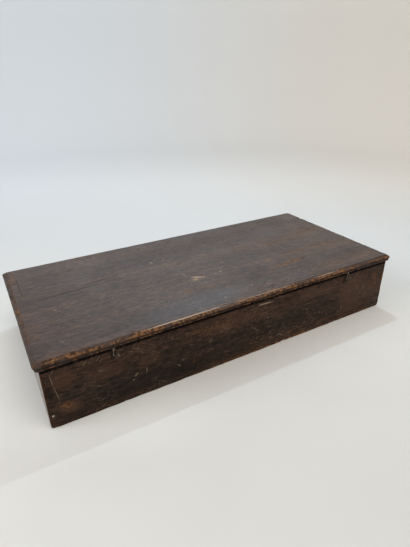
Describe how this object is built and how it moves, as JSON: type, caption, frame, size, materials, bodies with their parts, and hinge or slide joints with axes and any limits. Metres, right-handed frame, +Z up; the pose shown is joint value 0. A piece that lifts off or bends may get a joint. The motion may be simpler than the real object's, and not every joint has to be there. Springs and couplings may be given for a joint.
{
  "type": "pastel box",
  "caption": "Long, low antique wooden artist's box with a moulded overhanging lid on butt hinges, wire hook catches, divided wells and a sliding till with lanes for pastel sticks.",
  "frame": {"origin": "on the resting face, under the middle of the closed box's overall size", "axes": "+X along the front to the right, +Y from the front to the hinges, +Z up"},
  "size_m": [0.5, 0.2369, 0.0847],
  "materials": {
    "stained_wood": "dark stain, rubbed and scratched, dull wax",
    "inner_wood": "bare, dusty",
    "hinge_brass": "tarnished",
    "screw_steel": "dull",
    "iron_nail": "rusted dark",
    "steel_wire": "worn bright in places"
  },
  "bodies": {
    "case": {"front_board": "stained_wood", "back_board": "stained_wood", "left_end_board": "stained_wood", "right_end_board": "stained_wood", "bottom_board": "inner_wood", "corner_nails": "iron_nail", "bottom_nails": "iron_nail", "front_runner": "inner_wood", "back_runner": "inner_wood", "runner_nails": "iron_nail", "long_divider": "inner_wood", "cross_divider_1": "inner_wood", "cross_divider_2": "inner_wood", "cross_divider_3": "inner_wood", "left_hinge_case_leaf": "hinge_brass", "left_hinge_pin": "hinge_brass", "left_hinge_case_screws": "screw_steel", "left_catch_eye": "steel_wire", "right_hinge_case_leaf": "hinge_brass", "right_hinge_pin": "hinge_brass", "right_hinge_case_screws": "screw_steel", "right_catch_eye": "steel_wire"},
    "lid": {"lid_board": "stained_wood", "left_lid_batten": "inner_wood", "right_lid_batten": "inner_wood", "lid_batten_screws": "screw_steel", "left_hinge_lid_leaf": "hinge_brass", "left_hinge_lid_screws": "screw_steel", "left_hook_pin": "steel_wire", "right_hinge_lid_leaf": "hinge_brass", "right_hinge_lid_screws": "screw_steel", "right_hook_pin": "steel_wire"},
    "till": {"till_front_rail": "inner_wood", "till_back_rail": "inner_wood", "till_left_end": "inner_wood", "till_right_end": "inner_wood", "till_floor": "inner_wood", "till_lane_strip_1": "inner_wood", "till_lane_strip_2": "inner_wood", "till_lane_strip_3": "inner_wood", "till_lane_strip_4": "inner_wood", "till_lane_strip_5": "inner_wood", "till_lane_strip_6": "inner_wood", "till_lane_strip_7": "inner_wood", "till_lane_strip_8": "inner_wood"},
    "left_hook": {"left_hook": "steel_wire"},
    "right_hook": {"right_hook": "steel_wire"}
  },
  "joints": [
    {"name": "lid_hinge", "type": "hinge", "parent": "case", "child": "lid", "pos_m": [0, 0.11625, 0.07655], "axis": [-1, 0, 0], "range_deg": [0, 180]},
    {"name": "till_slide", "type": "slide", "parent": "case", "child": "till", "axis": [1, 0, 0], "range_m": [0, 0.2364]},
    {"name": "left_hook_swing", "type": "hinge", "parent": "lid", "child": "left_hook", "pos_m": [-0.172, -0.11555, 0.0777], "axis": [0, -1, 0], "range_deg": [-80, 19.5]},
    {"name": "right_hook_swing", "type": "hinge", "parent": "lid", "child": "right_hook", "pos_m": [0.161, -0.11555, 0.0777], "axis": [0, -1, 0], "range_deg": [-80, 19.5]}
  ]
}
